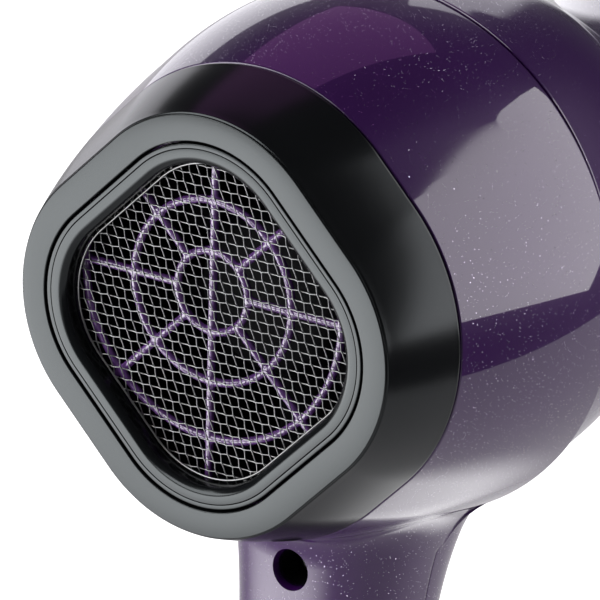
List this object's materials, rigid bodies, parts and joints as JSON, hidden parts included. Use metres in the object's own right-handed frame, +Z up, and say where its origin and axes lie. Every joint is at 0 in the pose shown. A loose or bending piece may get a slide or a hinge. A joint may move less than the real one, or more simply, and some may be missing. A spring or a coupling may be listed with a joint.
{
  "type": "hair dryer",
  "caption": "Handheld hair dryer: rounded-square rear intake with a lift-off mesh filter, round tapering barrel, leaning handle with rocker switches and a sprung cool button.",
  "frame": {"origin": "centre of the bounding box's bottom, level with the flat end of the handle", "axes": "+Y the way the air flows, from the intake to the outlet; +Z up along the handle towards the barrel; +X to the right seen from the intake"},
  "size_m": [0.0992, 0.1722, 0.2169],
  "materials": {
    "cowl_black": "satin black moulded plastic with a fine soft-touch texture",
    "body_violet": "deep violet metallic lacquer with fine silver glitter under a clear gloss coat",
    "guard_violet": "violet moulded plastic, semi-gloss",
    "inner_black": "matt black moulded plastic",
    "control_black": "satin black moulded plastic",
    "mesh_steel": "bright woven stainless wire",
    "steel": "plain machined steel",
    "mica": "flaky translucent mica sheet",
    "heating_wire": "oxidised resistance wire",
    "ceramic": "unglazed white ceramic",
    "copper": "enamelled copper winding",
    "brass": "sintered bronze bush",
    "ferrite": "dark grey ferrite",
    "circuit_board": "green solder-masked board",
    "rubber": "black rubber",
    "insulation_red": "red silicone insulation",
    "insulation_black": "black silicone insulation",
    "insulation_white": "white silicone insulation",
    "insulation_brown": "brown silicone insulation"
  },
  "bodies": {
    "body": {"intake_collar": "inner_black", "intake_guard": "guard_violet", "rear_body_shell": "body_violet", "front_body_shell": "body_violet", "handle_screw_upper": "steel", "handle_screw_lower": "steel", "outlet_ring": "control_black", "outlet_grille": "control_black", "heat_shield": "mica", "mica_board_upright": "mica", "mica_board_flat": "mica", "heating_coil_rear": "heating_wire", "heating_coil_front": "heating_wire", "thermostat": "ceramic", "thermal_fuse": "ceramic", "motor_can": "steel", "motor_end_cap": "inner_black", "rear_bearing": "brass", "front_bearing": "brass", "motor_magnet_left": "ferrite", "motor_magnet_right": "ferrite", "rectifier_board": "circuit_board", "fan_duct": "inner_black", "speed_rocker_pin": "steel", "heat_rocker_pin": "steel", "speed_switch_body": "inner_black", "heat_switch_body": "inner_black", "cool_shot_spring": "steel", "cool_shot_switch": "inner_black", "switch_carrier": "circuit_board", "handle_end_cap": "control_black", "cable_gland": "rubber", "cable_clamp": "inner_black", "clamp_screw_left": "steel", "clamp_screw_right": "steel", "terminal_block": "ceramic", "motor_lead_red": "insulation_red", "motor_lead_black": "insulation_black", "heater_lead_white": "insulation_white", "heater_lead_brown": "insulation_brown"},
    "cowl": {"rear_cowl": "cowl_black", "filter_frame": "cowl_black", "filter_bead": "mesh_steel", "filter_mesh": "mesh_steel"},
    "fan": {"fan_impeller": "inner_black", "motor_shaft": "steel", "motor_rotor": "copper"},
    "speed_rocker": {"speed_rocker": "control_black"},
    "heat_rocker": {"heat_rocker": "control_black"},
    "cool_shot": {"cool_shot_button": "control_black"}
  },
  "joints": [
    {"name": "cowl_pull", "type": "slide", "parent": "body", "child": "cowl", "axis": [0, -1, 0], "range_m": [0, 0.03]},
    {"name": "fan_spin", "type": "hinge", "parent": "body", "child": "fan", "pos_m": [0, -0.05792, 0.168], "axis": [0, 1, 0], "continuous": true},
    {"name": "speed_rocker_tilt", "type": "hinge", "parent": "body", "child": "speed_rocker", "pos_m": [0, -0.03548, 0.084], "axis": [1, 0, 0], "range_deg": [-9, 9]},
    {"name": "heat_rocker_tilt", "type": "hinge", "parent": "body", "child": "heat_rocker", "pos_m": [0, -0.03811, 0.06], "axis": [1, 0, 0], "range_deg": [-9, 9]},
    {"name": "cool_shot_press", "type": "slide", "parent": "body", "child": "cool_shot", "axis": [0, -1, 0], "range_m": [0, 0.0022], "stiffness_N_per_m": 300, "deforming": ["cool_shot_spring"]}
  ]
}
